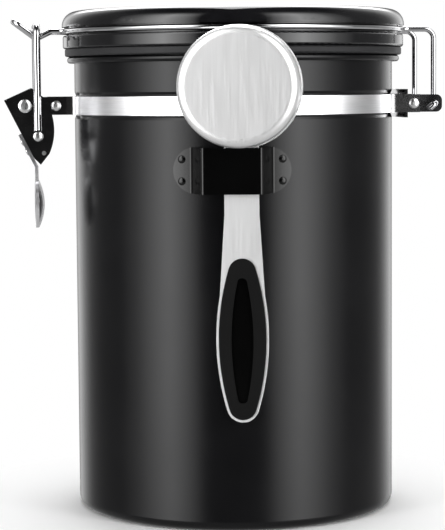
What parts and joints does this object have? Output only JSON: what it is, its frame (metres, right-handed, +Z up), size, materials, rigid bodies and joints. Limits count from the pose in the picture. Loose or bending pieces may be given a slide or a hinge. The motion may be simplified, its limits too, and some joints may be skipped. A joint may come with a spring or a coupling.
{
  "type": "food canister",
  "caption": "Round lidded steel food canister with a hinged sealing lid, wire-bail latch, date dials, vent valve and a steel scoop held in a strap on its front.",
  "frame": {"origin": "centre of the can's foot, on the can's axis, at the level it stands on", "axes": "+Z up along the can; -Y is the front with the scoop; -X the latch, +X the hinge"},
  "size_m": [0.16, 0.1495, 0.1851],
  "materials": {
    "satin_black_paint": "satin",
    "bright_band": "polished",
    "bright_wire": "polished",
    "stamped_steel": "polished",
    "rivet_steel": "polished",
    "gloss_black_plastic": "gloss",
    "grey_seal": "matt",
    "dial_plastic": "matt",
    "valve_plastic": "satin",
    "filter_felt": "matt",
    "scoop_steel": "brushed",
    "grip_plastic": "satin",
    "holder_paint": "satin"
  },
  "bodies": {
    "can": {"canister_body": "satin_black_paint", "front_band": "bright_band", "rear_band": "bright_band", "latch_bracket": "stamped_steel", "hinge_bracket": "stamped_steel", "latch_bracket_rivets": "rivet_steel", "hinge_bracket_rivets": "rivet_steel", "scoop_holder": "holder_paint", "holder_rivets": "holder_paint"},
    "lid": {"bail_wire": "bright_wire", "lid_base": "gloss_black_plastic", "lid_cover": "gloss_black_plastic", "lid_gasket": "grey_seal", "valve_cap": "valve_plastic", "valve_membrane": "grey_seal", "valve_filter": "filter_felt"},
    "lever": {"latch_lever": "stamped_steel", "lever_pivot_rivet": "rivet_steel", "lever_spacer_pin": "rivet_steel", "thumb_tab": "stamped_steel", "thumb_tab_rivets": "rivet_steel", "link_pivot_pins": "rivet_steel"},
    "link": {"latch_link": "bright_wire"},
    "scoop": {"scoop_bowl": "scoop_steel", "scoop_handle": "scoop_steel", "scoop_grip": "grip_plastic"},
    "day_ring": {"day_dial": "dial_plastic"},
    "month_ring": {"month_dial": "dial_plastic"}
  },
  "joints": [
    {"name": "lid_hinge", "type": "hinge", "parent": "can", "child": "lid", "pos_m": [0.0724, 0, 0.1491], "axis": [0, 1, 0], "range_deg": [0, 105]},
    {"name": "lever_pivot", "type": "hinge", "parent": "can", "child": "lever", "pos_m": [-0.0775, 0, 0.1491], "axis": [0, 1, 0], "range_deg": [0, 110]},
    {"name": "link_turn", "type": "hinge", "parent": "lever", "child": "link", "pos_m": [-0.073, 0, 0.1381], "axis": [0, 1, 0], "range_deg": [-78, 1]},
    {"name": "scoop_lift", "type": "slide", "parent": "can", "child": "scoop", "axis": [-0.0615, 0.0081, 0.9981], "range_m": [0, 0.11]},
    {"name": "day_turn", "type": "hinge", "parent": "lid", "child": "day_ring", "pos_m": [0, 0, 0.183], "axis": [0, 0, 1], "continuous": true},
    {"name": "month_turn", "type": "hinge", "parent": "lid", "child": "month_ring", "pos_m": [0, 0, 0.183], "axis": [0, 0, 1], "continuous": true}
  ],
  "couplings": [
    {"joint": "link_turn", "follows": "lever_pivot", "ratio": -0.7}
  ]
}
